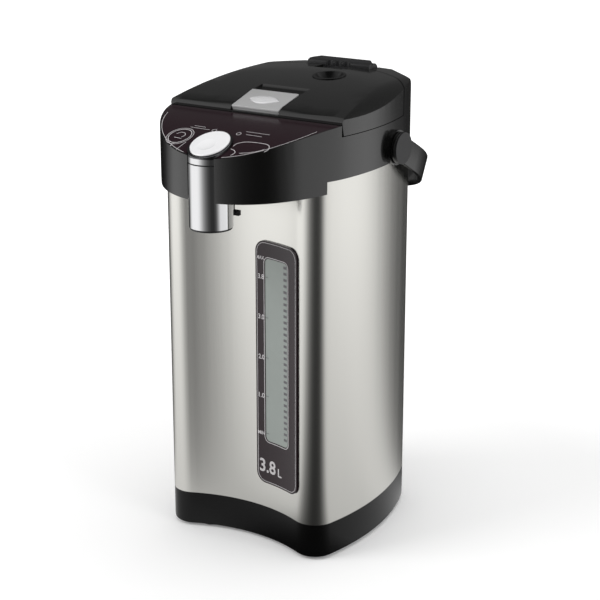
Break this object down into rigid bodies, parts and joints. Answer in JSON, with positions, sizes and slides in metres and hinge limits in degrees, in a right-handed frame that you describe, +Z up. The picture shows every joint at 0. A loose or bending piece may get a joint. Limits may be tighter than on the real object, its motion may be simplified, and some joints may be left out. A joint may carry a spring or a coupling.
{
  "type": "electric thermo pot",
  "caption": "Insulated electric hot water pot with hinged lid, steel sleeve, level gauge, nose spout with press button, cup lever and swinging carry handle.",
  "frame": {"origin": "on the floor below the middle of the pot's bounding box", "axes": "+Z up, -Y towards the spout at the front, +X towards the right-hand side seen from the front"},
  "size_m": [0.1794, 0.2388, 0.3744],
  "materials": {
    "black_plastic": "gloss black moulded plastic",
    "satin_black": "satin black moulded plastic",
    "panel_film": "deep plum printed film, glossy",
    "brushed_sleeve": "vertical brushed stainless steel",
    "plain_steel": "plain steel",
    "chrome_trim": "bright chrome",
    "silver_plastic": "satin silver",
    "rubber_black": "black rubber",
    "silicone": "translucent silicone",
    "window": "frosted clear plastic",
    "clear_tube": "clear tube",
    "cast_aluminium": "cast aluminium",
    "white_plastic": "off-white heat-proof plastic",
    "grey_plastic": "grey plastic",
    "board": "printed circuit board",
    "mica": "mica heater wrap",
    "ceramic": "ceramic body",
    "copper": "copper windings"
  },
  "bodies": {
    "pot": {"base_shell": "black_plastic", "base_plate": "satin_black", "rubber_feet": "rubber_black", "base_screws": "plain_steel", "outer_sleeve": "brushed_sleeve", "power_inlet": "satin_black", "power_board": "board", "tank_posts": "satin_black", "inner_tank": "plain_steel", "tank_gasket": "silicone", "heater_plate": "cast_aluminium", "warming_band": "mica", "thermostats": "satin_black", "thermal_fuse": "ceramic", "motor_cushion": "rubber_black", "pump_motor": "plain_steel", "pump_housing": "white_plastic", "suction_hose": "silicone", "delivery_tube": "silicone", "spout_pipe": "silicone", "outlet_nozzle": "satin_black", "level_hose": "silicone", "level_tube": "clear_tube", "level_cap": "silicone", "gauge_panel": "panel_film", "gauge_window": "window", "head_housing": "black_plastic", "nose_tray": "black_plastic", "control_panel": "panel_film", "panel_board": "board", "mouth_ring": "grey_plastic", "mouth_lip": "grey_plastic", "spout_housing": "chrome_trim", "spout_seal": "rubber_black", "spout_ring": "chrome_trim", "button_bezel": "satin_black", "button_spring": "plain_steel", "lever_pin": "plain_steel", "lever_switch": "satin_black", "rear_cover": "black_plastic", "hinge_pin": "plain_steel", "handle_pins": "satin_black"},
    "pump_rotor": {"impeller": "grey_plastic", "motor_shaft": "plain_steel", "motor_rotor": "copper"},
    "press_button": {"dispense_button": "satin_black", "button_cap": "silver_plastic"},
    "lever": {"cup_lever": "satin_black"},
    "lid": {"lid_shell": "black_plastic", "lid_inner_cover": "plain_steel", "lid_gasket": "silicone", "steam_tube": "grey_plastic", "steam_cap": "black_plastic", "hinge_bridge": "satin_black", "latch_pin": "plain_steel"},
    "release": {"hinge_release": "grey_plastic"},
    "latch": {"lid_latch": "silver_plastic", "latch_badge": "chrome_trim"},
    "handle": {"carry_handle": "black_plastic"}
  },
  "joints": [
    {"name": "lid_hinge", "type": "hinge", "parent": "pot", "child": "lid", "pos_m": [0, 0.088, 0.3676], "axis": [-1, 0, 0], "range_deg": [0, 78]},
    {"name": "hinge_release_slide", "type": "slide", "parent": "lid", "child": "release", "axis": [0, 1, 0], "range_m": [0, 0.002], "stiffness_N_per_m": 150, "springref_m": -0.001},
    {"name": "latch_tilt", "type": "hinge", "parent": "lid", "child": "latch", "pos_m": [0, -0.0393, 0.3522], "axis": [1, 0, 0], "range_deg": [0, 30], "stiffness_Nm_per_rad": 0.12, "springref_deg": -8.59},
    {"name": "handle_swing", "type": "hinge", "parent": "pot", "child": "handle", "pos_m": [0, 0.032, 0.32], "axis": [-1, 0, 0], "range_deg": [-118, 0]},
    {"name": "button_press", "type": "slide", "parent": "pot", "child": "press_button", "axis": [0, 0, -1], "range_m": [0, 0.0025], "stiffness_N_per_m": 700, "springref_m": -0.001, "deforming": ["button_spring"]},
    {"name": "cup_lever_tilt", "type": "hinge", "parent": "pot", "child": "lever", "pos_m": [0, -0.08, 0.306], "axis": [1, 0, 0], "range_deg": [0, 8], "stiffness_Nm_per_rad": 0.08, "springref_deg": -5.73},
    {"name": "pump_spin", "type": "hinge", "parent": "pot", "child": "pump_rotor", "pos_m": [-0.0295, -0.024, 0.046], "axis": [0, 0, 1], "continuous": true}
  ]
}
